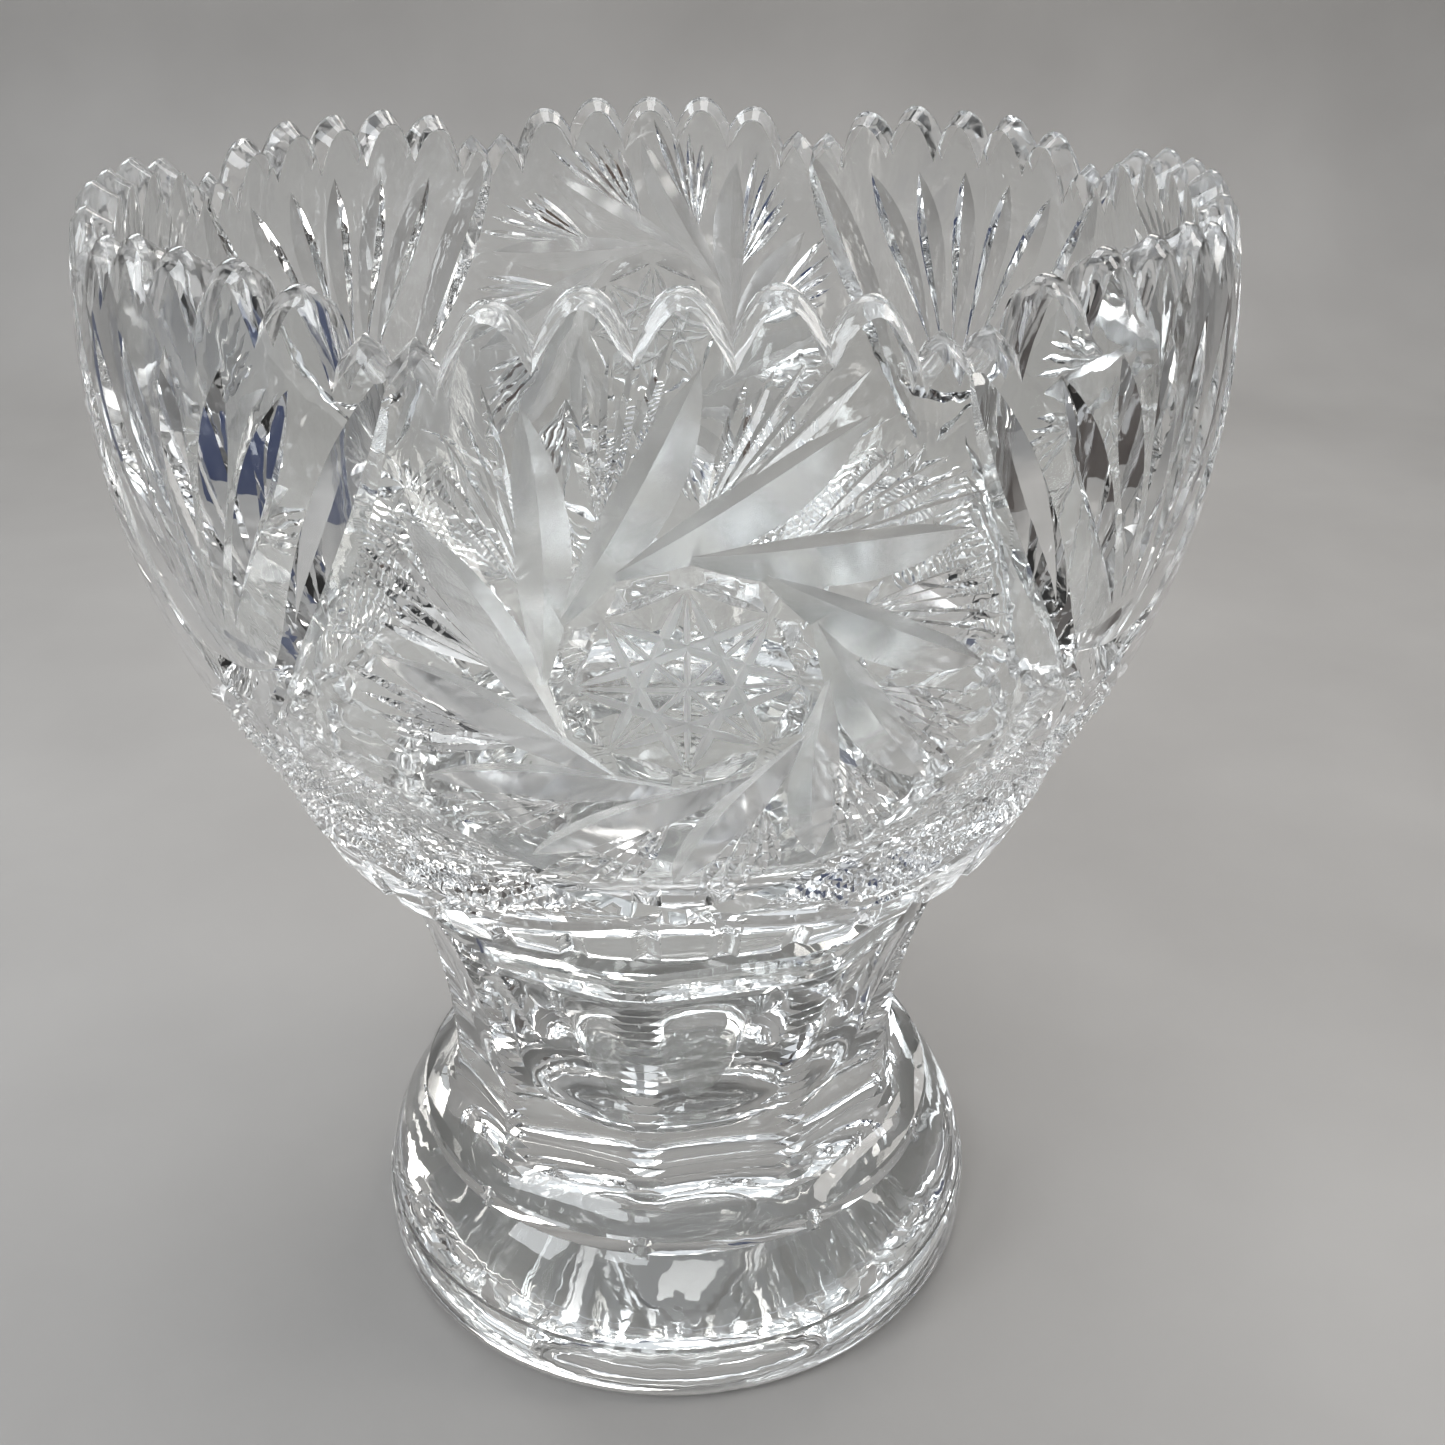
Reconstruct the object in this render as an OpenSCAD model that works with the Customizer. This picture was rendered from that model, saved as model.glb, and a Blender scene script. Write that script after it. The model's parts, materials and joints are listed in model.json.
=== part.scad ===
// Two-piece cut-crystal punch bowl: a deep bowl whose short peg sits in the
// socket of a separate pedestal stand.
// Millimetres. The origin is the centre of the foot on the table, +Z is up,
// and the middle of one pinwheel medallion faces -Y.

/* [Bowl] */
// Height of the tallest rim teeth above the table
bowl_top_z = 301; // [290:1:312]
// Radius of the bowl at its widest
bowl_widest_r = 129.5; // [126:0.5:133]
// Height at which the bowl is widest
bowl_widest_z = 262; // [258:1:266]
// Radius of the arc that the side of the bowl follows
bowl_side_arc = 168.5; // [160:0.5:178]
// Thickness of the bowl's wall
bowl_wall = 8.5; // [7:0.5:10]
// Height at which the side meets the straight belly band
belly_top_z = 180; // [176:1:184]
// Radius of the belly band's lower edge
belly_edge_r = 93.5; // [90:0.5:97]
// Height of the belly band's lower edge
belly_edge_z = 149; // [147:1:152]
// Height of the middle of the bowl's floor
bowl_floor_z = 152; // [150:1:156]

/* [Rim] */
// Number of scallops round the rim
scallops = 8; // [6:2:10]
// Large teeth on one scallop
large_teeth = 5; // [3:2:7]
// Angle that one small tooth between two scallops takes up
small_tooth_turn = 4.25; // [3.5:0.25:5]
// Depth of the notch between two large teeth
large_notch = 7.5; // [5:0.5:8.5]
// Depth of the notch beside a small tooth
small_notch = 4.5; // [3:0.5:6]
// How far the outermost large tooth of a scallop is lower than the others
end_tooth_drop = 2.5; // [1:0.5:4]
// How far the small teeth are lower than the middle teeth
small_tooth_drop = 9; // [7:0.5:11]

/* [Long mitres] */
// Depth of each long mitre cut in the bowl's wall
mitre_depth = 4; // [2:0.5:5]
// Height of the middle of each long mitre cut
mitre_mid_z = 247; // [240:1:250]
// Lean of the long mitre cuts away from upright
mitre_lean = 30; // [24:1:36]

/* [Stand] */
// Radius of the round foot
foot_r = 87; // [84:0.5:90]
// Height of the upright band round the foot
foot_band_h = 19; // [15:1:22]
// Number of flat flutes round the column
flutes = 10; // [8:1:12]
// Distance from the axis to the flat of a flute at the waist
waist_flat_r = 61; // [59:0.5:63]
// Height of the waist
waist_z = 62; // [60:1:66]
// Height of the stand's flat top, on which the bowl rests
stand_top_z = 134; // [130:1:138]
// Height of the bottom of the well inside the column
well_low_z = 54; // [50:1:70]
// Angle from -Y to the nearest edge between two flutes
flute_turn = -9; // [-18:1:18]

/* [Seat] */
// Radius of the peg under the bowl
peg_r = 58; // [54:0.5:60]
// Length of the peg under the bowl
peg_h = 16; // [12:1:20]
// Gap between the peg and the wall of its socket
peg_gap = 0.6; // [0.4:0.1:1.2]
// Gap under the peg, which hangs clear of the socket's floor
peg_end_gap = 2; // [1:0.5:4]

/* [Hidden] */
$fn = 96;

// Side of the bowl: one arc, centred beyond the axis
side_centre_r = bowl_widest_r - bowl_side_arc;
belly_top_r = side_centre_r
    + sqrt(pow(bowl_side_arc, 2) - pow(bowl_widest_z - belly_top_z, 2));
mitre_r = side_centre_r
    + sqrt(pow(bowl_side_arc, 2) - pow(bowl_widest_z - mitre_mid_z, 2));
mitre_tilt = asin((bowl_widest_z - mitre_mid_z) / bowl_side_arc);
mitre_half_angle = 50;
mitre_length = 130;
cut_reach = 30;

// Floor of the bowl: a shallow dish
floor_arc = 260;

// Underside of the bowl between the belly edge and the seat
seat_outer_r = 73;
seat_step_r = 78;
seat_step_h = 6;

// Rim teeth
scallop_turn = 360 / scallops;
large_tooth_turn = (scallop_turn - 2 * small_tooth_turn) / large_teeth;
rim_r = bowl_widest_r - 2;
large_tooth_w = rim_r * large_tooth_turn * PI / 180;
small_tooth_w = rim_r * small_tooth_turn * PI / 180;
small_top_z = bowl_top_z - small_tooth_drop;
tooth_bevel = 1.6;
tooth_land = 0.8;
shoulder_share = 0.3;
notch_foot = 0.3;
run_on = 0.4;

// Foot: upright band, then a convex shoulder that is part of a torus
foot_edge = 2;
shoulder_arc = 35;
shoulder_r = foot_r - shoulder_arc - 1;
shoulder_z = 15;
ring_r = 74.5;
ring_top_z = 46;

// Column: each flute is flat across and hollow up and down
upper_flare = 173;
lower_flare = 18;
flare_overlap = 0.4;
edge_r = 2.6;
stand_top_r = 78;
flute_width = 60;

// Well: the tapering hollow inside the column, open into the socket
socket_low_z = stand_top_z - peg_h - peg_end_gap;
well_top_r = 48;
well_low_r = 30;
well_round = 8;

// Shallow dome under the foot, inside the flat ring on which it stands
dome_r = 64;
dome_h = 10;
dome_arc = (pow(dome_r, 2) + pow(dome_h, 2)) / (2 * dome_h);

// Half section of the bowl without its cuts
module bowl_section() {
    difference() {
        union() {
            intersection() {
                translate([side_centre_r, bowl_widest_z])
                    circle(r = bowl_side_arc);
                translate([0, belly_top_z])
                    square([bowl_widest_r + 1, bowl_top_z - belly_top_z]);
            }
            polygon([
                [0, stand_top_z],
                [seat_outer_r, stand_top_z],
                [seat_step_r, stand_top_z + seat_step_h],
                [belly_edge_r, belly_edge_z],
                [belly_top_r, belly_top_z],
                [0, belly_top_z]
            ]);
            translate([0, stand_top_z - peg_h])
                square([peg_r, peg_h + 1]);
        }
        intersection() {
            translate([side_centre_r, bowl_widest_z])
                circle(r = bowl_side_arc - bowl_wall);
            translate([0, bowl_floor_z + floor_arc])
                circle(r = floor_arc);
            translate([0, bowl_floor_z - 1])
                square([bowl_widest_r, bowl_top_z - bowl_floor_z + 2]);
        }
    }
}

// Notch between two large teeth, seen from outside: a V with bevelled shoulders.
// The bevels run on above the rim, so no corner lies in the plane of its top.
module large_notch_outline() {
    shoulder_x = shoulder_share * large_tooth_w;
    edge_x = large_tooth_w / 2 - tooth_land;
    bevel_lean = (edge_x - shoulder_x) / tooth_bevel;
    polygon([
        [-edge_x - bevel_lean * run_on, bowl_top_z + run_on],
        [-shoulder_x, bowl_top_z - tooth_bevel],
        [-notch_foot, bowl_top_z - large_notch],
        [notch_foot, bowl_top_z - large_notch],
        [shoulder_x, bowl_top_z - tooth_bevel],
        [edge_x + bevel_lean * run_on, bowl_top_z + run_on]
    ]);
}

// Points of the right half of a valley, from its middle notch to the end tooth
function valley_half() = [
    [notch_foot, small_top_z - small_notch],
    [small_tooth_w * 0.3, small_top_z - 0.8],
    [small_tooth_w * 0.42, small_top_z],
    [small_tooth_w * 0.6, small_top_z],
    [small_tooth_w * 0.74, small_top_z - 0.8],
    [small_tooth_w - notch_foot, small_top_z - small_notch],
    [small_tooth_w + notch_foot, small_top_z - small_notch],
    [small_tooth_w + large_tooth_w * 0.22, bowl_top_z - end_tooth_drop - tooth_bevel],
    [small_tooth_w + large_tooth_w * 0.36, bowl_top_z - end_tooth_drop],
    [small_tooth_w + large_tooth_w * 0.52, bowl_top_z + run_on]
];

// Valley between two scallops, with its two small teeth left standing
module valley_outline() {
    half = valley_half();
    polygon(concat(
        half,
        [for (i = [len(half) - 1:-1:0]) [-half[i][0], half[i][1]]]
    ));
}

// Cutter through the wall at the given turn, with the outline of its child
module rim_cut(turn) {
    rotate([0, 0, turn])
        translate([0, -rim_r + cut_reach, 0])
            rotate([90, 0, 0])
                linear_extrude(height = 2 * cut_reach)
                    children();
}

// Cutters for the notches of one scallop and the valley after it
module scallop_cuts() {
    last = large_teeth / 2 - 1;
    for (i = [-last:last])
        rim_cut(i * large_tooth_turn)
            large_notch_outline();
    rim_cut(scallop_turn / 2)
        valley_outline();
}

// Straight V cutter of one long mitre; it runs out where the wall curves away
module long_mitre(turn, lean) {
    rotate([0, 0, turn])
        translate([0, -mitre_r, mitre_mid_z])
            rotate([mitre_tilt, 0, 0])
                rotate([0, lean, 0])
                    linear_extrude(height = mitre_length, center = true)
                        polygon([
                            [0, mitre_depth],
                            [-(mitre_depth + cut_reach) * tan(mitre_half_angle), -cut_reach],
                            [(mitre_depth + cut_reach) * tan(mitre_half_angle), -cut_reach]
                        ]);
}

module bowl() {
    color([0.86, 0.89, 0.88, 0.55])
        difference() {
            rotate_extrude()
                bowl_section();
            for (i = [0:scallops - 1])
                rotate([0, 0, i * scallop_turn])
                    scallop_cuts();
            // One mitre each side of every fan, between two medallions
            for (i = [0:2:scallops - 1])
                for (side = [-1, 1])
                    long_mitre((i + 1) * scallop_turn + side * scallop_turn / 4,
                               side * mitre_lean);
        }
}

// Solid outline of the foot: band, shoulder and the ring under the column
module foot_section() {
    polygon([
        [0, 0],
        [foot_r - foot_edge, 0],
        [foot_r, foot_edge],
        [foot_r, foot_band_h - foot_edge],
        [foot_r - foot_edge, foot_band_h],
        [0, foot_band_h]
    ]);
    intersection() {
        translate([shoulder_r, shoulder_z])
            circle(r = shoulder_arc);
        translate([0, shoulder_z])
            square([foot_r, ring_top_z - shoulder_z - 2]);
    }
    square([ring_r, ring_top_z]);
}

// Half section of the space outside the column; inset moves it from the axis
module flare_section(inset) {
    intersection() {
        translate([waist_flat_r + inset + upper_flare, waist_z])
            circle(r = upper_flare);
        translate([0, waist_z])
            square([waist_flat_r + cut_reach, stand_top_z - waist_z + 2]);
    }
    intersection() {
        translate([waist_flat_r + inset - flare_overlap + lower_flare, waist_z])
            circle(r = lower_flare);
        translate([0, ring_top_z])
            square([waist_flat_r + cut_reach, 2 * lower_flare]);
    }
}

module well_section() {
    polygon(concat(
        [[0, socket_low_z + 1], [0, well_low_z]],
        [for (angle = [0:22.5:90]) [
            well_low_r - well_round * (1 - sin(angle)),
            well_low_z + well_round * (1 - cos(angle))
        ]],
        [[well_top_r, socket_low_z], [well_top_r, socket_low_z + 1]]
    ));
}

module dome_section() {
    intersection() {
        translate([0, dome_h - dome_arc])
            circle(r = dome_arc);
        translate([0, -1])
            square([foot_r, dome_h + 2]);
    }
}

module stand() {
    color([0.84, 0.88, 0.87, 0.55])
        difference() {
            rotate_extrude()
                difference() {
                    union() {
                        foot_section();
                        difference() {
                            translate([0, ring_top_z - 1])
                                square([stand_top_r, stand_top_z - ring_top_z + 1]);
                            translate([ring_r, ring_top_z - 2])
                                square([stand_top_r, 2]);
                            flare_section(edge_r);
                        }
                    }
                    well_section();
                    dome_section();
                    translate([0, socket_low_z])
                        square([peg_r + peg_gap, peg_h + peg_end_gap + 1]);
                }
            // The flutes
            for (i = [0:flutes - 1])
                rotate([0, 0, flute_turn + (i + 0.5) * 360 / flutes - 90])
                    rotate([90, 0, 0])
                        linear_extrude(height = flute_width, center = true)
                            flare_section(0);
        }
}

stand();
bowl();
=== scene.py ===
"""Looks of the cut-crystal punch bowl: the cut bowl and the fluted stand, built around the CAD frame."""
import json
import math

import bmesh
import bpy
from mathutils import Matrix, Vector

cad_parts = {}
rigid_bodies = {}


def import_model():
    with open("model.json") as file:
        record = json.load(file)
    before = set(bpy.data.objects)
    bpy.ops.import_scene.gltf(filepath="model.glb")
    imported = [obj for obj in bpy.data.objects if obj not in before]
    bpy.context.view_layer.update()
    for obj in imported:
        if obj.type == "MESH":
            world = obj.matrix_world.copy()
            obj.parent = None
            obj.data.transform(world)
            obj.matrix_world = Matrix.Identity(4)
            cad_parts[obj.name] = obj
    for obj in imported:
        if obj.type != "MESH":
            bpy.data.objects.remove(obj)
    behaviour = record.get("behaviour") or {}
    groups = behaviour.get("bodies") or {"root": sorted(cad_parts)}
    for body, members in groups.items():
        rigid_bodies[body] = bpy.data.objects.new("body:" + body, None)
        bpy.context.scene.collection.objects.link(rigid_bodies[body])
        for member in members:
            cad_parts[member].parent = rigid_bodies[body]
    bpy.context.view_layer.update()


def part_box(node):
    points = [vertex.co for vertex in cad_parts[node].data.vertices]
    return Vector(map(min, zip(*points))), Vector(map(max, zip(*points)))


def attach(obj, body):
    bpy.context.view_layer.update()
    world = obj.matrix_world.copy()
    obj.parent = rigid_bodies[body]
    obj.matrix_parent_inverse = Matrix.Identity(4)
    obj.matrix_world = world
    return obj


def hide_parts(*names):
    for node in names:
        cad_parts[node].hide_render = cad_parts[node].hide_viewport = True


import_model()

# ---------------------------------------------------------------- sizes, in millimetres and degrees
MM = 0.001
TURN = 360.0

bowl_low, bowl_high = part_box("bowl")
stand_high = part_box("stand")[1]
RIM_Z = bowl_high.z / MM
PEG_LOW_Z = bowl_low.z / MM
STAND_TOP_Z = stand_high.z / MM
FOOT_R = stand_high.x / MM

# Side of the bowl: one arc up to the rim, a straight belly band below it
SIDE_ARC = 168.5
WIDEST_R = 129.5
WIDEST_Z = 262.0
SIDE_CENTRE_R = WIDEST_R - SIDE_ARC
WALL = 8.5
BELLY_TOP_Z = 180.0
BELLY_EDGE_R, BELLY_EDGE_Z = 93.5, 149.0
FLOOR_Z, FLOOR_ARC = 152.0, 260.0
FLOOR_MEETS_WALL_Z = 168.0

# Underside of the bowl: it slopes in from the belly's edge to a flat seat round the peg
UNDER_EDGE_Z = 148.2
UNDER_LOW_R, UNDER_LOW_H = 78.0, 6.0
SEAT_R = 73.0
PEG_R = 58.0
PEG_BEVEL = 1.5

# Air left between the bowl and its seat, and between the foot and the floor
SEAT_AIR = 0.15
FOOT_AIR = 0.25

# Rim: eight scallops, each with five large teeth between two small ones
SCALLOPS = 8
LARGE_TEETH = 5
SMALL_TURN = 4.25
SCALLOP_TURN = TURN / SCALLOPS
LARGE_TURN = (SCALLOP_TURN - 2 * SMALL_TURN) / LARGE_TEETH
LARGE_NOTCH = 8.2
SMALL_NOTCH = 4.5
END_DROP = 2.5
SMALL_DROP = 9.0
LARGE_ROUNDNESS, SMALL_ROUNDNESS = 2.3, 1.15
LARGE_STEPS, SMALL_STEPS = 12, 8
RIM_BEVEL = 3.0
STEEPEST_BEVEL = 1.7
TOOTH_SLOPE = 3.5
NOTCH_SLOPE = 6.5
INNER_RIM_AIR, OUTER_RIM_AIR = 0.5, 0.4

# Middle height of a pinwheel, from which the arc length t up the side is measured
PINWHEEL_Z = 231.6
PINWHEELS = 4
PINWHEEL_TURN = TURN / PINWHEELS
HUB_STAR_R = 20.5
STAR_POINTS = 8
HUB_R = 26.5
VANES = 12
FEATHERS = 5

# Stand
FLUTES = 10
FLUTE_TURN = -9.0
FLAT_STEPS, CORNER_STEPS = 14, 3
WAIST_R, WAIST_Z = 61.0, 62.0
UPPER_FLARE, LOWER_FLARE = 173.0, 18.0
EDGE_R = 2.6
RING_R, RING_TOP_Z = 74.5, 46.0
RING_BEVEL = 0.7
SHOULDER_ARC, SHOULDER_Z = 35.0, 15.0
FOOT_BAND_Z, FOOT_ROUND = 19.0, 5.0
SOCKET_R, SOCKET_Z = 58.6, 116.0
WELL_TOP_R, WELL_LOW_R, WELL_ROUND, WELL_LOW_Z = 48.0, 30.0, 8.0, 54.0
DOME_R, DOME_H = 64.0, 10.0

# Edges sharper than this stay crisp when the glass is shaded smooth
CRISP_ANGLE = 28


# ---------------------------------------------------------------- shared helpers
def new_object(name, points, faces, scale=MM):
    """Mesh object with its normals facing outward; scale turns the points into metres."""
    mesh = bpy.data.meshes.new(name)
    mesh.from_pydata([tuple(c * scale for c in p) for p in points], [], faces)
    work = bmesh.new()
    work.from_mesh(mesh)
    bmesh.ops.recalc_face_normals(work, faces=work.faces)
    work.to_mesh(mesh)
    work.free()
    obj = bpy.data.objects.new(name, mesh)
    bpy.context.scene.collection.objects.link(obj)
    return obj


def face_towards(obj, place, aim):
    """Puts an object at place with its -Z side towards aim; both are in metres."""
    obj.location = place
    obj.rotation_euler = (Vector(aim) - Vector(place)).to_track_quat("-Z", "Y").to_euler()


def new_material(name):
    """Material with its node tree and its shader."""
    mat = bpy.data.materials.new(name)
    mat.use_nodes = True
    return mat, mat.node_tree, mat.node_tree.nodes["Principled BSDF"]


def noise(tree, scale, detail):
    """Noise that stays fixed to the object."""
    place = tree.nodes.new("ShaderNodeTexCoord")
    node = tree.nodes.new("ShaderNodeTexNoise")
    node.inputs["Scale"].default_value = scale
    node.inputs["Detail"].default_value = detail
    tree.links.new(place.outputs["Object"], node.inputs["Vector"])
    return node


def bump(tree, height, strength, distance):
    """Bump of so many millimetres from a noise node."""
    node = tree.nodes.new("ShaderNodeBump")
    node.inputs["Strength"].default_value = strength
    node.inputs["Distance"].default_value = distance * MM
    tree.links.new(height.outputs["Fac"], node.inputs["Height"])
    return node


# ---------------------------------------------------------------- camera and stage
def make_camera():
    """Camera in front of the bowl and above its rim, looking down at it."""
    lens_length, sensor = 39.88, 36.0
    distance, aside, height = 377.3, 13.9, 357.7
    pitch, heading = math.radians(27.88), math.radians(3.5)
    ahead = Vector((math.sin(heading), math.cos(heading), 0))
    right = Vector((math.cos(heading), -math.sin(heading), 0))
    data = bpy.data.cameras.new("camera")
    data.lens = lens_length
    data.sensor_width = sensor
    data.clip_start = 0.01
    camera = bpy.data.objects.new("camera", data)
    bpy.context.scene.collection.objects.link(camera)
    camera.location = (right * aside - ahead * distance + Vector((0, 0, height))) * MM
    camera.rotation_euler = (math.pi / 2 - pitch, 0, -heading)
    bpy.context.scene.camera = camera


def make_floor():
    """Pale table top that curves up into the backdrop far behind the bowl."""
    width, front, back, bend, high = 7000.0, -3500.0, 760.0, 260.0, 1500.0
    steps = 16
    profile = [(front, -FOOT_AIR), (back, -FOOT_AIR)]
    for i in range(1, steps + 1):
        angle = math.pi / 2 * i / steps
        profile.append((back + bend * math.sin(angle), bend * (1 - math.cos(angle)) - FOOT_AIR))
    profile.append((back + bend, high))
    points = [(end * width / 2, y, z) for y, z in profile for end in (-1, 1)]
    faces = [(2 * i, 2 * i + 1, 2 * i + 3, 2 * i + 2) for i in range(len(profile) - 1)]
    floor = new_object("floor", points, faces)
    floor.data.materials.append(floor_material())
    for polygon in floor.data.polygons:
        polygon.use_smooth = True


def floor_material():
    """Matt painted board with faint mottling."""
    mat, tree, shader = new_material("floor_board")
    shader.inputs["Roughness"].default_value = 0.6
    mottle = noise(tree, 7.0, 8.0)
    tone = tree.nodes.new("ShaderNodeValToRGB")
    tone.color_ramp.elements[0].position = 0.3
    tone.color_ramp.elements[0].color = (0.295, 0.283, 0.270, 1)
    tone.color_ramp.elements[1].position = 0.7
    tone.color_ramp.elements[1].color = (0.335, 0.322, 0.308, 1)
    tree.links.new(mottle.outputs["Fac"], tone.inputs["Fac"])
    tree.links.new(tone.outputs["Color"], shader.inputs["Base Color"])
    return mat


def area_light(name, place, aim, size, power, colour=(1, 1, 1)):
    """Rectangular soft light at place, pointing at aim; places and sizes in metres."""
    data = bpy.data.lights.new(name, "AREA")
    data.shape = "RECTANGLE"
    data.size, data.size_y = size
    data.energy = power
    data.color = colour
    light = bpy.data.objects.new(name, data)
    bpy.context.scene.collection.objects.link(light)
    face_towards(light, place, aim)


def dark_card(name, place, aim, size, colour):
    """Dark card facing aim, in metres. It shows only in the glass, never to the camera itself."""
    mat, _, shader = new_material(name)
    shader.inputs["Base Color"].default_value = (*colour, 1)
    shader.inputs["Roughness"].default_value = 0.8
    w, h = size[0] / 2, size[1] / 2
    card = new_object(name, [(-w, -h, 0), (w, -h, 0), (w, h, 0), (-w, h, 0)], [(0, 1, 2, 3)], 1.0)
    card.data.materials.append(mat)
    face_towards(card, place, aim)
    card.visible_camera = False


def make_light():
    """Soft windows all round, with dark cards beside the camera and at both sides of the bowl."""
    centre = (0, 0, 0.2)
    cool, warm = (0.93, 0.97, 1.0), (1.0, 0.97, 0.93)
    area_light("window_left", (-1.0, -0.6, 0.95), centre, (0.45, 0.8), 7.5, cool)
    area_light("window_front", (-0.45, -1.05, 1.25), centre, (0.4, 0.5), 4.0, cool)
    area_light("window_top", (0.1, 0.2, 1.3), centre, (0.6, 0.6), 5.0)
    area_light("window_right", (1.05, -0.1, 0.75), centre, (0.3, 0.7), 4.0, warm)
    area_light("window_back", (0.45, 0.72, 0.85), centre, (0.5, 0.3), 2.5, warm)
    area_light("window_back_left", (-0.6, 0.7, 0.8), centre, (0.4, 0.3), 2.0, cool)

    low_centre = (0, 0, 0.27)
    front_size, side_size = (0.5, 0.7), (0.50, 0.36)
    dark_card("card_navy", (-0.62, -0.95, 0.42), centre, front_size, (0.025, 0.050, 0.150))
    dark_card("card_brown", (0.72, -0.85, 0.45), centre, front_size, (0.090, 0.055, 0.040))
    dark_card("card_navy_side", (-0.85, -0.05, 0.27), low_centre, side_size, (0.018, 0.036, 0.110))
    dark_card("card_brown_side", (0.85, 0.10, 0.27), low_centre, side_size, (0.055, 0.042, 0.036))


def make_room():
    """Room that is dark below and pale above, and how the picture takes its light."""
    world = bpy.data.worlds.new("room")
    bpy.context.scene.world = world
    world.use_nodes = True
    nodes, links = world.node_tree.nodes, world.node_tree.links
    back = nodes["Background"]
    place = nodes.new("ShaderNodeTexCoord")
    split = nodes.new("ShaderNodeSeparateXYZ")
    ramp = nodes.new("ShaderNodeValToRGB")
    ramp.color_ramp.elements[0].position = 0.0
    ramp.color_ramp.elements[0].color = (0.16, 0.16, 0.165, 1)
    ramp.color_ramp.elements[1].position = 0.9
    ramp.color_ramp.elements[1].color = (0.82, 0.85, 0.89, 1)
    links.new(place.outputs["Generated"], split.inputs["Vector"])
    links.new(split.outputs["Z"], ramp.inputs["Fac"])
    links.new(ramp.outputs["Color"], back.inputs["Color"])
    bpy.context.scene.view_settings.view_transform = "Standard"
    # Thick cut glass mirrors light inside itself many times; with fewer bounces some facets turn black
    bpy.context.scene.cycles.glossy_bounces = 12


# ---------------------------------------------------------------- crystal
def crystal(name, colour, rough, ripple, grain):
    """Lead crystal. rough is its range of roughness, ripple the polishing waves, grain the wheel's grain."""
    mat, tree, shader = new_material(name)
    shader.inputs["Base Color"].default_value = (*colour, 1)
    shader.inputs["Transmission Weight"].default_value = 1.0
    shader.inputs["IOR"].default_value = 1.55

    haze = noise(tree, 60.0, 6.0)
    span = tree.nodes.new("ShaderNodeMapRange")
    span.inputs["To Min"].default_value = rough[0]
    span.inputs["To Max"].default_value = rough[1]
    tree.links.new(haze.outputs["Fac"], span.inputs["Value"])
    tree.links.new(span.outputs["Result"], shader.inputs["Roughness"])

    wave_bump = bump(tree, noise(tree, 110.0, 2.0), ripple, 1.0)
    fine_bump = bump(tree, noise(tree, 2600.0, 3.0), grain, 0.1)
    tree.links.new(wave_bump.outputs["Normal"], fine_bump.inputs["Normal"])
    tree.links.new(fine_bump.outputs["Normal"], shader.inputs["Normal"])
    return mat


# The bowl's finishes, in the order of its materials
POLISHED, SATIN, RIM, FROST = 0, 1, 2, 3


def bowl_crystals():
    """Materials of the bowl: polished glass, satin blades, ground rim and frosted star lines."""
    return (crystal("bowl_polished", (0.985, 0.995, 0.99), (0.0, 0.03), 0.05, 0.0),
            crystal("bowl_satin", (0.97, 0.98, 0.97), (0.14, 0.24), 0.05, 0.3),
            crystal("bowl_rim", (0.985, 0.99, 0.99), (0.03, 0.10), 0.15, 0.05),
            crystal("bowl_frost", (0.98, 0.99, 0.99), (0.38, 0.48), 0.05, 0.3))


# ---------------------------------------------------------------- side of the bowl
LEVEL = math.asin((PINWHEEL_Z - WIDEST_Z) / SIDE_ARC)
BELLY_TOP_T = SIDE_ARC * (math.asin((BELLY_TOP_Z - WIDEST_Z) / SIDE_ARC) - LEVEL)
BELLY_TOP_R = SIDE_CENTRE_R + math.sqrt(SIDE_ARC ** 2 - (WIDEST_Z - BELLY_TOP_Z) ** 2)
BELLY_SLANT = math.hypot(BELLY_TOP_R - BELLY_EDGE_R, BELLY_TOP_Z - BELLY_EDGE_Z)


def side_r(z, arc=SIDE_ARC):
    """Radius of the side's arc at height z; arc is shorter by the wall for the inside."""
    return SIDE_CENTRE_R + math.sqrt(arc ** 2 - (WIDEST_Z - z) ** 2)


def side(t):
    """Radius, height and outward normal of the bowl's side at arc length t above a pinwheel's middle."""
    if t >= BELLY_TOP_T:
        angle = LEVEL + t / SIDE_ARC
        nr, nz = math.cos(angle), math.sin(angle)
        return SIDE_CENTRE_R + SIDE_ARC * nr, WIDEST_Z + SIDE_ARC * nz, nr, nz
    along = (BELLY_TOP_T - t) / BELLY_SLANT
    nr = (BELLY_TOP_Z - BELLY_EDGE_Z) / BELLY_SLANT
    nz = -(BELLY_TOP_R - BELLY_EDGE_R) / BELLY_SLANT
    return (BELLY_TOP_R + (BELLY_EDGE_R - BELLY_TOP_R) * along,
            BELLY_TOP_Z + (BELLY_EDGE_Z - BELLY_TOP_Z) * along, nr, nz)


def around(turn, r, z):
    """Point at radius r and height z, turned by so many degrees from -Y towards +X."""
    angle = math.radians(turn)
    return Vector((r * math.sin(angle), -r * math.cos(angle), z))


def chart(turn, t0=0.0):
    """Flat map of the side: a runs round the bowl and b up its arc, both in mm from (turn, t0)."""
    def place(a, b):
        r, z, nr, nz = side(t0 + b)
        there = turn + math.degrees(a / r)
        return around(there, r, z), around(there, nr, nz)
    return place


def turn_chart(turn, t):
    """The side at a turn in degrees and an arc length."""
    r, z, nr, nz = side(t)
    return around(turn, r, z), around(turn, nr, nz)


# ---------------------------------------------------------------- depth of a cut along its length s, 0 to 1
def lens(s):
    """None at the ends and most in the middle."""
    return 4 * s * (1 - s)


def leaf(s):
    """Like lens, with the deepest place nearer the far end."""
    return lens(s ** 1.35)


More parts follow.
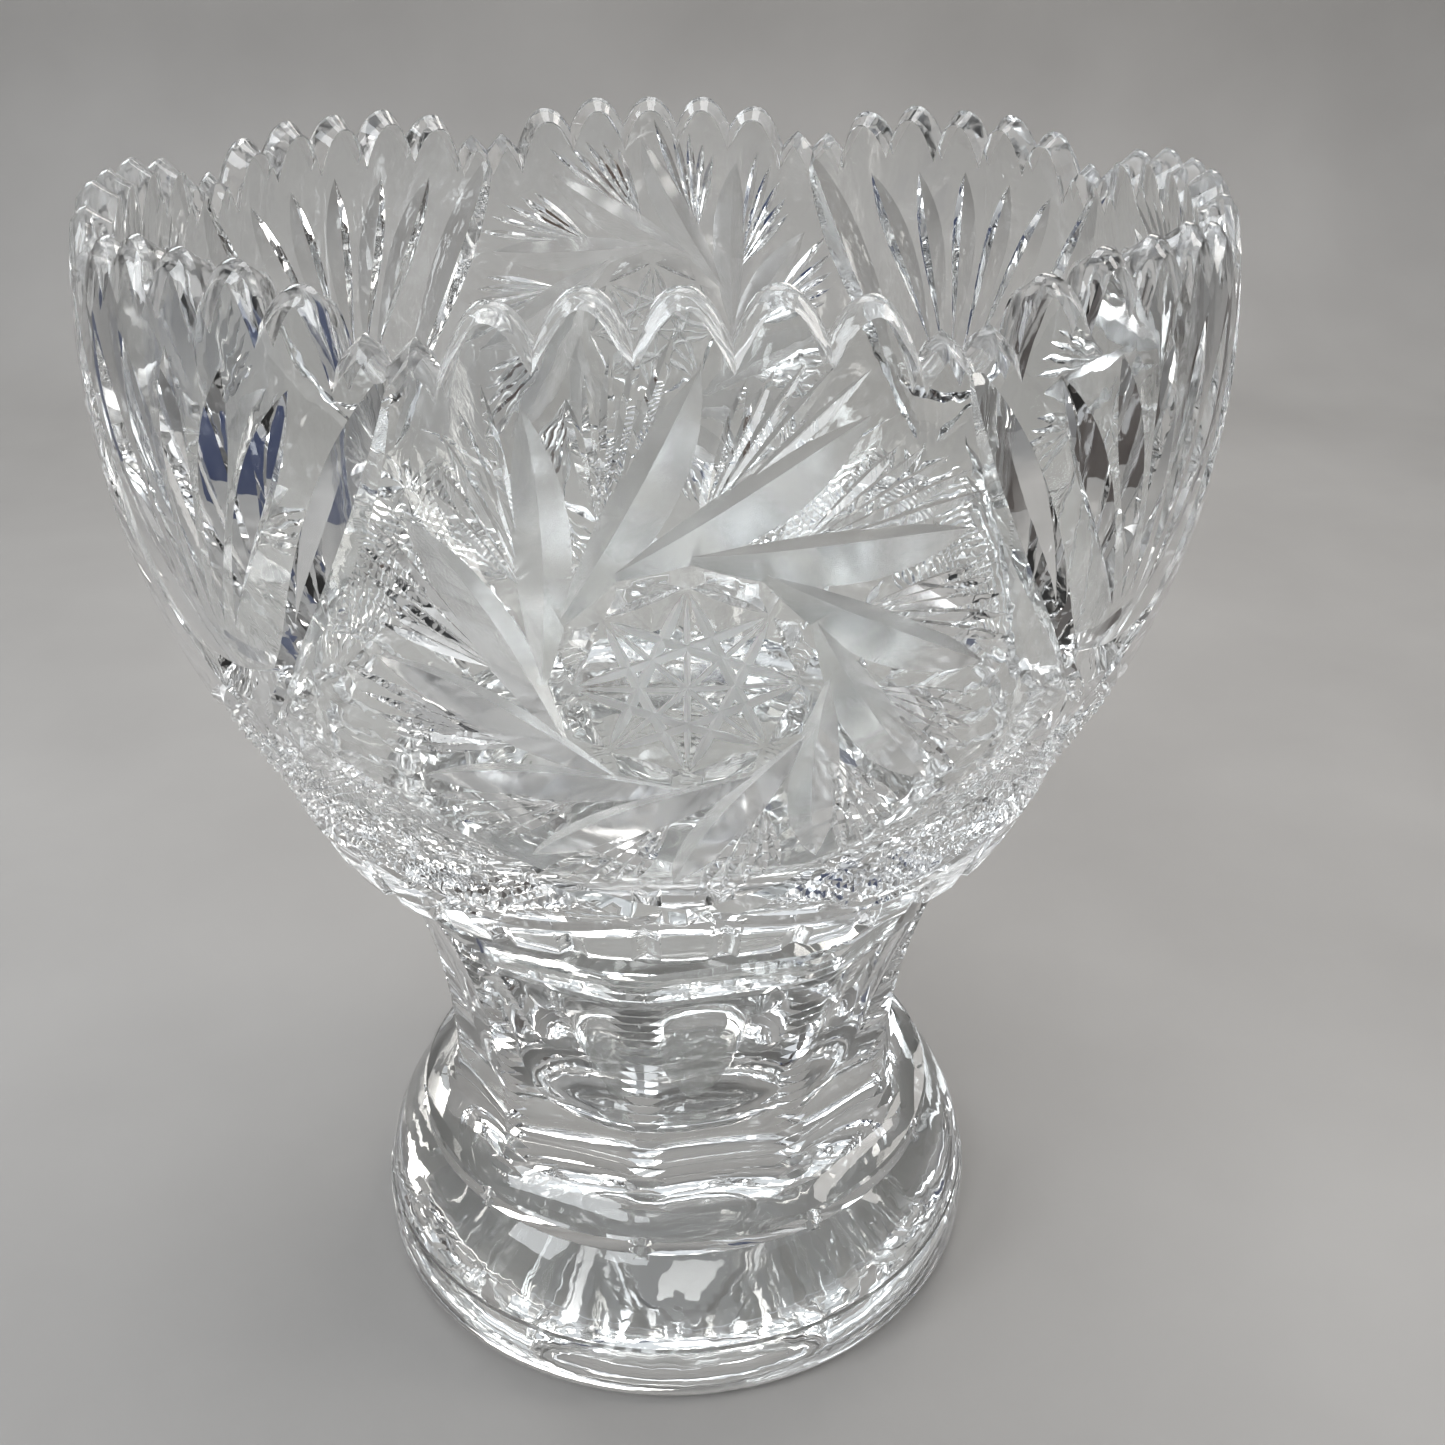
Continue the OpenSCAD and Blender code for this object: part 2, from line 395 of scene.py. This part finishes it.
def long_leaf(s):
    """Like leaf, with its widest place two thirds of the way up."""
    return lens(s ** 1.7)


def blunt_leaf(s):
    """Like long_leaf, but ending bluntly at its foot."""
    return max(long_leaf(s), 0.5 * min(1.0, 15 * s, 4 * (1 - s)))


def flat_lens(s):
    """Nearly even, running out quickly at both ends."""
    return min(1.0, 7 * s, 7 * (1 - s))


def rise(s):
    """Even, running out within a twelfth of the length at both ends."""
    return min(1.0, 12 * s, 12 * (1 - s))


def level(s):
    """Even from end to end."""
    return 1.0


# ---------------------------------------------------------------- cuts
LIFT = 0.6


def cut(place, path, depth, half_angles, shape=lens, steps=10, finish=(POLISHED, POLISHED)):
    """Cutter of a V groove whose root follows path(s) on the surface place(a, b).

    half_angles are the slopes of its left and right sides from upright, and finish their polish."""
    frames = []
    for i in range(steps + 1):
        point, normal = place(*path(i / steps))
        frames.append((point, normal))
    points, faces, finishes = [], [], []
    for i, (point, normal) in enumerate(frames):
        before, after = frames[max(i - 1, 0)][0], frames[min(i + 1, steps)][0]
        across = normal.cross(after - before).normalized()
        deep = -LIFT / 2 + (depth + LIFT / 2) * shape(i / steps)
        left, right = ((deep + LIFT) * math.tan(math.radians(h)) for h in half_angles)
        points += [point - normal * deep,
                   point + normal * LIFT + across * left,
                   point + normal * LIFT - across * right]
    for i in range(steps):
        n = 3 * i
        faces += [(n, n + 1, n + 4, n + 3), (n + 1, n + 2, n + 5, n + 4), (n + 2, n, n + 3, n + 5)]
        finishes += [finish[0], POLISHED, finish[1]]
    n = 3 * steps
    faces += [(2, 1, 0), (n, n + 1, n + 2)]
    finishes += [POLISHED, POLISHED]
    return points, faces, finishes


def line(x0, y0, x1, y1, bow=0.0):
    """Straight path between two places of a chart, bowed to its left by so many mm."""
    length = math.hypot(x1 - x0, y1 - y0)
    left = (-(y1 - y0) / length, (x1 - x0) / length)

    def path(s):
        off = bow * lens(s)
        return x0 + (x1 - x0) * s + left[0] * off, y0 + (y1 - y0) * s + left[1] * off
    return path


def polar_line(start, direction, length, bow=0.0):
    """Path from start, at a direction in degrees counter-clockwise from +a."""
    angle = math.radians(direction)
    return line(start[0], start[1],
                start[0] + length * math.cos(angle), start[1] + length * math.sin(angle), bow)


def hub_cuts(place):
    """Eight-pointed line star in the middle of a pinwheel, with a wedge between each two points."""
    cuts = []
    corners = []
    for i in range(STAR_POINTS):
        angle = math.radians(90 + TURN / STAR_POINTS * i)
        corners.append((HUB_STAR_R * math.cos(angle), HUB_STAR_R * math.sin(angle)))
    for i in range(STAR_POINTS):
        chord_end = corners[(i + 3) % STAR_POINTS]
        cuts.append(cut(place, line(*corners[i], *chord_end), depth=0.85, half_angles=(50, 50),
                        shape=flat_lens, finish=(FROST, FROST)))
        next_corner = corners[(i + 1) % STAR_POINTS]
        cuts.append(cut(place, line(*corners[i], *next_corner, bow=-0.6), depth=1.5, half_angles=(35, 66)))
    for i in range(STAR_POINTS // 2):
        opposite = corners[i + STAR_POINTS // 2]
        cuts.append(cut(place, line(*corners[i], *opposite), depth=0.5, half_angles=(50, 50),
                        shape=flat_lens, finish=(FROST, FROST)))
    return cuts


def vane_cuts(place):
    """Twelve tangent blades round a pinwheel's hub, each with a fan of fine feather cuts."""
    run_up = 7.0
    feather_root = 25
    first_feather, feather_spread = 10, 32
    feather_length, feather_shortening = 39, 13
    cuts = []
    for i in range(VANES):
        turn = 90 + TURN / VANES * i
        out = math.radians(turn)
        heading = turn - 90
        ahead = math.radians(heading)
        start = (HUB_R * math.cos(out) - run_up * math.cos(ahead),
                 HUB_R * math.sin(out) - run_up * math.sin(ahead))
        cuts.append(cut(place, polar_line(start, heading, length=59, bow=-1.5), depth=3.6,
                        half_angles=(50, 60), shape=leaf, steps=12, finish=(SATIN, SATIN)))
        root = (start[0] + feather_root * math.cos(ahead), start[1] + feather_root * math.sin(ahead))
        for j in range(FEATHERS):
            share = j / (FEATHERS - 1)
            feather = polar_line(root, heading + first_feather + feather_spread * share,
                                 feather_length - feather_shortening * share)
            cuts.append(cut(place, feather, depth=1.1, half_angles=(48, 52), shape=leaf, steps=6))
    return cuts


def fan_cuts(place):
    """Fan of leaf mitres between two pinwheels, its two bounding mitres and the small star below."""
    top_t, apex_t, foot_t = 54, -6, -27
    root_share, top_fall = 0.12, 0.1
    cuts = []
    for a in (-32, -16, 0, 16, 32):
        path = line(a * root_share, apex_t, a, top_t - abs(a) * top_fall)
        cuts.append(cut(place, path, depth=3.5, half_angles=(50, 50), shape=long_leaf, steps=14))

    bound_foot_a, bound_top_a, bound_rise, bound_bow = 2.5, 52, 3, -4.5
    for hand in (-1, 1):
        path = line(hand * bound_foot_a, foot_t, hand * bound_top_a, top_t + bound_rise, hand * bound_bow)
        cuts.append(cut(place, path, depth=4.6, half_angles=(52, 54), shape=blunt_leaf, steps=20))

    curve_a, curve_t, curve_sag = 19, -5, -9
    cuts.append(cut(place, line(-curve_a, curve_t, curve_a, curve_t, curve_sag), depth=2.8,
                    half_angles=(45, 68), steps=14))

    star_r, star_t, star_lines = 12.5, -39, 4
    for i in range(star_lines):
        angle = math.radians(TURN / 2 / star_lines * i)
        x, y = star_r * math.cos(angle), star_r * math.sin(angle)
        cuts.append(cut(place, line(-x, star_t - y, x, star_t + y), depth=3.0, half_angles=(48, 48)))
    return cuts


SWAG_TURN = 45.0
SWAG_TOP_T, SWAG_SAG = -68.5, 10.0
EDGE_TURN = 39.0
HALF_PANEL_TURN = 45


def medallion_edge_t(turn):
    """Arc length of a pinwheel panel's lower edge, at a turn from the panel's middle."""
    lowest_t, climb, roundness = -70, 60, 1.45
    return lowest_t + climb * (abs(turn) / HALF_PANEL_TURN) ** roundness


def swag_t(turn):
    """Arc length of the swag line that hangs round the belly."""
    phase = (turn % SWAG_TURN) / SWAG_TURN
    return SWAG_TOP_T - SWAG_SAG * lens(phase)


def swag_cuts():
    """Hanging swags round the belly, between the panels above and the prisms below."""
    cuts = []
    for i in range(int(TURN / SWAG_TURN)):
        def path(s, start=i * SWAG_TURN):
            turn = start + SWAG_TURN * s
            return turn, swag_t(turn)
        cuts.append(cut(turn_chart, path, depth=1.3, half_angles=(60, 48), shape=rise, steps=14))
    return cuts


def edge_cuts(turn):
    """Groove along the lower edge of the pinwheel panel at this turn."""
    def path(s):
        off = EDGE_TURN * (2 * s - 1)
        return turn + off, medallion_edge_t(off)
    return [cut(turn_chart, path, depth=2.2, half_angles=(45, 62), shape=rise, steps=30)]


def in_hatch(turn, off, t):
    """Whether a place lies in the hatched panel at this turn, above the swag and clear of the small star."""
    star_half_turn, star_foot_t = 6.5, -50
    swag_gap, edge_gap, top_t, half_turn = 1.2, 1.5, -30, 44
    edge = medallion_edge_t(HALF_PANEL_TURN - abs(off)) - edge_gap
    by_star = abs(off) < star_half_turn and t > star_foot_t
    return swag_t(turn + off) + swag_gap < t < min(edge, top_t) and abs(off) < half_turn and not by_star


def hatch_cuts(turn):
    """Crossed fine grooves in the panel below the fan at this turn, deepest in its middle."""
    low_t, height, steps, fewest_steps = -84, 56, 40, 4
    middle_t = low_t + height / 2
    lines_each_side, spacing_turn, lean_turn = 16, 2.3, 0.8
    edge_depth, middle_depth, fade_turn = 1.0, 0.7, 20
    cuts = []
    for sign in (-1, 1):
        for k in range(-lines_each_side, lines_each_side + 1):
            inside = []
            for i in range(steps + 1):
                t = low_t + height * i / steps
                off = sign * (t - middle_t) * lean_turn + k * spacing_turn
                if in_hatch(turn, off, t):
                    inside.append((off, t))
            if len(inside) < fewest_steps:
                continue
            first, last = inside[0], inside[-1]

            def path(s, first=first, last=last):
                return (turn + first[0] + (last[0] - first[0]) * s,
                        first[1] + (last[1] - first[1]) * s)
            near = max(0.0, 1 - abs(first[0] + last[0]) / 2 / fade_turn)
            cuts.append(cut(turn_chart, path, depth=edge_depth + middle_depth * near,
                            half_angles=(52, 52), shape=rise, steps=6))
    return cuts


def underside_cuts():
    """Radial prisms under the belly, from the seat out to its edge and on up to the swags."""
    prisms, under_depth, band_depth = 36, 2.3, 1.5
    first_r, last_r = 76, 97
    band_foot_t, swag_gap = -95, 2
    under_low_z = STAND_TOP_Z + UNDER_LOW_H
    slope = (UNDER_EDGE_Z - under_low_z) / (BELLY_EDGE_R - UNDER_LOW_R)
    size = math.hypot(1, slope)

    def place(turn, r):
        return (around(turn, r, under_low_z + (r - UNDER_LOW_R) * slope),
                around(turn, slope / size, -1 / size))
    cuts = []
    for i in range(prisms):
        turn = TURN / prisms * (i + 0.5)
        cuts.append(cut(place, line(turn, first_r, turn, last_r), under_depth, half_angles=(64, 64),
                        shape=flat_lens, steps=8))
        cuts.append(cut(turn_chart, line(turn, band_foot_t, turn, swag_t(turn) - swag_gap), band_depth,
                        half_angles=(64, 64), shape=flat_lens, steps=6))
    return cuts


def carve_out(body, cuts, materials):
    """Takes every cutter out of the body in one Boolean, then sets smooth shading with crisp edges.

    materials are in the order of the finishes."""
    tools = bpy.data.collections.new("tools")
    bpy.context.scene.collection.children.link(tools)
    for mat in materials:
        body.data.materials.append(mat)
    for number, (points, faces, finishes) in enumerate(cuts):
        tool = new_object(f"tool{number}", points, faces)
        bpy.context.scene.collection.objects.unlink(tool)
        tools.objects.link(tool)
        for mat in materials:
            tool.data.materials.append(mat)
        for polygon, finish in zip(tool.data.polygons, finishes):
            polygon.material_index = finish
    carve = body.modifiers.new("carve", "BOOLEAN")
    carve.operation = "DIFFERENCE"
    carve.solver = "MANIFOLD"
    carve.operand_type = "COLLECTION"
    carve.collection = tools
    bpy.context.view_layer.update()
    carved = bpy.data.meshes.new_from_object(body.evaluated_get(bpy.context.evaluated_depsgraph_get()))
    body.modifiers.clear()
    body.data = carved
    carved.name = body.name
    for tool in list(tools.objects):
        mesh = tool.data
        bpy.data.objects.remove(tool)
        bpy.data.meshes.remove(mesh)
    bpy.data.collections.remove(tools)
    carved.shade_smooth()
    carved.set_sharp_from_angle(angle=math.radians(CRISP_ANGLE))


# ---------------------------------------------------------------- bowl
def ring_mesh(name, rings):
    """Closed mesh through rings of (turn, r, z) triples, with a flat cap on the first and the last."""
    columns = len(rings[0])
    points = [around(*triple) for ring in rings for triple in ring]
    faces = []
    for j in range(len(rings) - 1):
        for i in range(columns):
            here, after = j * columns + i, j * columns + (i + 1) % columns
            faces.append((here, here + columns, after + columns, after))
    last = (len(rings) - 1) * columns
    faces.append(tuple(range(columns)))
    faces.append(tuple(reversed(range(last, last + columns))))
    return new_object(name, points, faces)


def scallop_columns():
    """(turn, drop, slope) of each mesh column of one scallop.

    drop is how far its outer edge lies below the rim's top, and slope how much further down its
    inner edge lies."""
    small_foot = SMALL_DROP + SMALL_NOTCH
    small = (SMALL_TURN, SMALL_DROP, small_foot, small_foot, SMALL_ROUNDNESS, SMALL_STEPS)
    teeth = [small]
    for i in range(LARGE_TEETH):
        first, last = i == 0, i == LARGE_TEETH - 1
        teeth.append((LARGE_TURN,
                      END_DROP if first or last else 0.0,
                      small_foot if first else LARGE_NOTCH,
                      small_foot if last else LARGE_NOTCH,
                      LARGE_ROUNDNESS, LARGE_STEPS))
    teeth.append(small)
    columns = []
    start = -SCALLOP_TURN / 2
    for turn, top, left, right, roundness, steps in teeth:
        for i in range(steps):
            u = 2 * i / steps - 1
            foot = left if u < 0 else right
            fall = abs(u) ** roundness
            columns.append((start + turn * (u + 1) / 2, top + (foot - top) * fall,
                            TOOTH_SLOPE + (NOTCH_SLOPE - TOOTH_SLOPE) * fall))
        start += turn
    return columns


def bevel_drops(columns):
    """How far the outer bevel reaches below each column's rim edge: more where the edge is steep."""
    drops = []
    count = len(columns)
    for i in range(count):
        before, after = columns[i - 1], columns[(i + 1) % count]
        width = math.radians((after[0] - before[0]) % TURN) * WIDEST_R
        left = abs(columns[i][1] - before[1]) / (width / 2)
        right = abs(after[1] - columns[i][1]) / (width / 2)
        steep = max(left, right)
        drops.append(RIM_BEVEL * min(math.hypot(1, steep), STEEPEST_BEVEL))
    return drops


def bowl_rings():
    """Rings of the uncut bowl, from the middle of its floor, up, over the rim, down and under the peg,
    with the numbers of the rim's first and last ring."""
    columns = [(k * SCALLOP_TURN + turn, drop, slope)
               for k in range(SCALLOPS) for turn, drop, slope in scallop_columns()]
    bevels = bevel_drops(columns)
    inner_arc = SIDE_ARC - WALL
    # Below this height the rings are level, and above it they take up the outline of the teeth
    blend_z = 268.0
    blend_rows = 7
    rings = []

    def plain(r, z):
        rings.append([(turn, r, z) for turn, _, _ in columns])

    for r in (6, 20, 34, 48, 62, 72, 80):
        plain(r, FLOOR_Z + FLOOR_ARC - math.sqrt(FLOOR_ARC ** 2 - r ** 2))
    rows = 26
    for i in range(rows):
        z = FLOOR_MEETS_WALL_Z + (blend_z - FLOOR_MEETS_WALL_Z) * i / rows
        plain(side_r(z, inner_arc), z)
    for i in range(blend_rows + 1):
        ring = []
        for turn, drop, slope in columns:
            z = blend_z + (RIM_Z - drop - slope - blend_z) * i / blend_rows
            ring.append((turn, side_r(z, inner_arc), z))
        rings.append(ring)

    rim_first = len(rings)
    for share in (0.05, 0.35, 0.65):
        ring = []
        for turn, drop, slope in columns:
            z_out = RIM_Z - INNER_RIM_AIR - drop
            z_in = z_out - slope
            r = side_r(z_in, inner_arc) * (1 - share) + (side_r(z_out) - RIM_BEVEL) * share
            ring.append((turn, r, z_in + slope * share))
        rings.append(ring)
    steps = 4
    for i in range(steps):
        angle = math.pi / 2 * (1 - i / steps)
        ring = []
        for (turn, drop, _), bevel in zip(columns, bevels):
            r = side_r(RIM_Z - drop) - RIM_BEVEL * (1 - math.cos(angle))
            ring.append((turn, r, RIM_Z - OUTER_RIM_AIR - drop - bevel * (1 - math.sin(angle))))
        rings.append(ring)
    rim_last = len(rings)

    for i in range(blend_rows + 1):
        ring = []
        for (turn, drop, _), bevel in zip(columns, bevels):
            z = blend_z + (RIM_Z - OUTER_RIM_AIR - drop - bevel - blend_z) * (1 - i / blend_rows)
            ring.append((turn, side_r(z), z))
        rings.append(ring)
    rows = 34
    for i in range(1, rows):
        z = blend_z + (BELLY_TOP_Z - blend_z) * i / rows
        plain(side_r(z), z)
    rows = 7
    for i in range(rows + 1):
        share = i / rows
        plain(BELLY_TOP_R + (BELLY_EDGE_R - BELLY_TOP_R) * share,
              BELLY_TOP_Z + (BELLY_EDGE_Z - BELLY_TOP_Z) * share)

    # Underside: the slope in to the seat, the seat, and the peg with its bevelled end
    seat_z = STAND_TOP_Z + SEAT_AIR
    for r, z in ((92.9, UNDER_EDGE_Z), (85, 143.8), (UNDER_LOW_R, STAND_TOP_Z + UNDER_LOW_H),
                 (SEAT_R, seat_z), (66, seat_z), (PEG_R, seat_z), (PEG_R, STAND_TOP_Z - 5),
                 (PEG_R, PEG_LOW_Z + PEG_BEVEL), (PEG_R - PEG_BEVEL, PEG_LOW_Z),
                 (40, PEG_LOW_Z), (20, PEG_LOW_Z)):
        plain(r, z)
    return rings, rim_first, rim_last


def make_bowl():
    """The bowl: a thick-walled body with every groove cut into it."""
    rings, rim_first, rim_last = bowl_rings()
    body = ring_mesh("bowl_cut_crystal", rings)
    columns = len(rings[0])
    for polygon in body.data.polygons[(rim_first - 1) * columns:rim_last * columns]:
        polygon.material_index = RIM
    cuts = []
    for k in range(PINWHEELS):
        turn = k * PINWHEEL_TURN
        fan_turn = turn + PINWHEEL_TURN / 2
        cuts += hub_cuts(chart(turn))
        cuts += vane_cuts(chart(turn))
        cuts += fan_cuts(chart(fan_turn))
        cuts += edge_cuts(turn)
        cuts += hatch_cuts(fan_turn)
    cuts += swag_cuts()
    cuts += underside_cuts()
    carve_out(body, cuts, bowl_crystals())
    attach(body, "bowl")
    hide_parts("bowl")


# ---------------------------------------------------------------- stand
def flute_r(z):
    """Distance from the axis to the flat of a flute at height z."""
    if z >= WAIST_Z:
        return WAIST_R + UPPER_FLARE - math.sqrt(UPPER_FLARE ** 2 - (z - WAIST_Z) ** 2)
    return WAIST_R + LOWER_FLARE - math.sqrt(LOWER_FLARE ** 2 - (z - WAIST_Z) ** 2)


def corner_turn(flat):
    """Angle from a flute's middle to its edge, where its flat is so far from the axis."""
    return math.degrees(math.acos(flat / (flat + EDGE_R)))


def flute_turns(flat):
    """(middle, off) of each mesh column: its flute's middle, and its own angle from that middle."""
    half = TURN / FLUTES / 2
    corner = corner_turn(flat)
    turns = []
    for k in range(FLUTES):
        middle = FLUTE_TURN + (k + 0.5) * TURN / FLUTES
        for i in range(FLAT_STEPS):
            turns.append((middle, -corner + 2 * corner * i / FLAT_STEPS))
        for i in range(CORNER_STEPS):
            turns.append((middle, corner + (2 * half - 2 * corner) * i / CORNER_STEPS))
    return turns


def stand_rings():
    """Rings of the stand, from the bottom of its well, up through the socket, over the top, down the
    outside and in under the foot to the middle of its dome."""
    rings = []
    waist_turns = [middle + off for middle, off in flute_turns(WAIST_R)]

    def plain(r, z):
        rings.append([(turn, r, z) for turn in waist_turns])

    def fluted(z):
        flat = flute_r(z)
        corner = corner_turn(flat)
        ring = []
        for middle, off in flute_turns(flat):
            r = flat / math.cos(math.radians(off)) if abs(off) <= corner else flat + EDGE_R
            ring.append((middle + off, r, z))
        rings.append(ring)

    # Well
    plain(5, WELL_LOW_Z)
    rows = 6
    for i in range(rows + 1):
        angle = math.pi / 2 * i / rows
        plain(WELL_LOW_R - WELL_ROUND * (1 - math.sin(angle)),
              WELL_LOW_Z + WELL_ROUND * (1 - math.cos(angle)))
    rows = 12
    for i in range(1, rows + 1):
        plain(WELL_LOW_R + (WELL_TOP_R - WELL_LOW_R) * i / rows,
              WELL_LOW_Z + WELL_ROUND + (SOCKET_Z - WELL_LOW_Z - WELL_ROUND) * i / rows)

    # Socket, with a bevelled mouth
    for r, z in ((WELL_TOP_R + 1, SOCKET_Z), (SOCKET_R - 1, SOCKET_Z), (SOCKET_R, SOCKET_Z + 1),
                 (SOCKET_R, SOCKET_Z + 9), (SOCKET_R, STAND_TOP_Z - 0.6), (SOCKET_R + 0.6, STAND_TOP_Z),
                 (66, STAND_TOP_Z)):
        plain(r, z)

    # Column and the ring under it
    rows = 40
    for i in range(rows + 1):
        fluted(STAND_TOP_Z + (WAIST_Z - STAND_TOP_Z) * i / rows)
    rows = 14
    for i in range(1, rows + 1):
        fluted(WAIST_Z + (RING_TOP_Z - WAIST_Z) * i / rows)
    plain(RING_R - RING_BEVEL, RING_TOP_Z)
    plain(RING_R, RING_TOP_Z - RING_BEVEL)

    # Shoulder of the foot
    shoulder_r = FOOT_R - SHOULDER_ARC - 1
    shoulder_top = SHOULDER_Z + math.sqrt(SHOULDER_ARC ** 2 - (RING_R - shoulder_r) ** 2)
    plain(RING_R, (RING_TOP_Z + shoulder_top) / 2)
    first = math.acos((RING_R - shoulder_r) / SHOULDER_ARC)
    last = math.asin((FOOT_BAND_Z - SHOULDER_Z) / SHOULDER_ARC)
    rows = 14
    for i in range(rows + 1):
        angle = first + (last - first) * i / rows
        plain(shoulder_r + SHOULDER_ARC * math.cos(angle), SHOULDER_Z + SHOULDER_ARC * math.sin(angle))

    # Band of the foot, with a soft upper edge and a rounded lower one
    for inward, down in ((2.6, 0.6), (1.0, 1.2), (0.2, 3.2), (0, 6)):
        plain(FOOT_R - inward, FOOT_BAND_Z - down)
    rows = 6
    for i in range(rows + 1):
        angle = math.pi / 2 * i / rows
        plain(FOOT_R - FOOT_ROUND * (1 - math.cos(angle)), FOOT_ROUND * (1 - math.sin(angle)))

    # Dome under the foot
    dome_arc = (DOME_R ** 2 + DOME_H ** 2) / (2 * DOME_H)
    for r in (DOME_R, 56, 48, 40, 30, 20, 10, 4):
        plain(r, DOME_H - dome_arc + math.sqrt(dome_arc ** 2 - r ** 2))
    return rings


def zipper_cuts():
    """Row of small V cuts across each edge between two flutes, down to the ring under the column."""
    first_z, pitch, count, half_width = 50.0, 3.1, 27, 7
    ring_heights, ring_half_width = (45.2, 42.4), 4
    cuts = []
    for k in range(FLUTES):
        turn = FLUTE_TURN + k * TURN / FLUTES
        for i in range(count):
            z = first_z + pitch * i
            r = flute_r(z) + EDGE_R
            flare = flute_r(z + 0.5) - flute_r(z - 0.5)

            def place(a, b, turn=turn, r=r, z=z, flare=flare):
                return around(turn, r, z) + around(turn + 90, a, 0), around(turn, 1, -flare).normalized()
            cuts.append(cut(place, line(-half_width, 0, half_width, 0), depth=1.1, half_angles=(52, 52),
                            shape=level, steps=1))
        for z in ring_heights:
            def ring_place(a, b, turn=turn, z=z):
                there = turn + math.degrees(a / RING_R)
                return around(there, RING_R, z), around(there, 1, 0)
            cuts.append(cut(ring_place, line(-ring_half_width, 0, ring_half_width, 0), depth=1.3,
                            half_angles=(52, 52), steps=6))
    return cuts


def make_stand():
    """The pedestal: a fluted column with a socket and a well, on a round foot with a dome beneath."""
    body = ring_mesh("stand_fluted_pedestal", stand_rings())
    carve_out(body, zipper_cuts(), (
        crystal("stand_polished", (0.985, 0.995, 0.99), (0.0, 0.03), 0.07, 0.0),))
    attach(body, "stand")
    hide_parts("stand")


# ---------------------------------------------------------------- build
make_camera()
make_floor()
make_light()
make_room()
make_bowl()
make_stand()
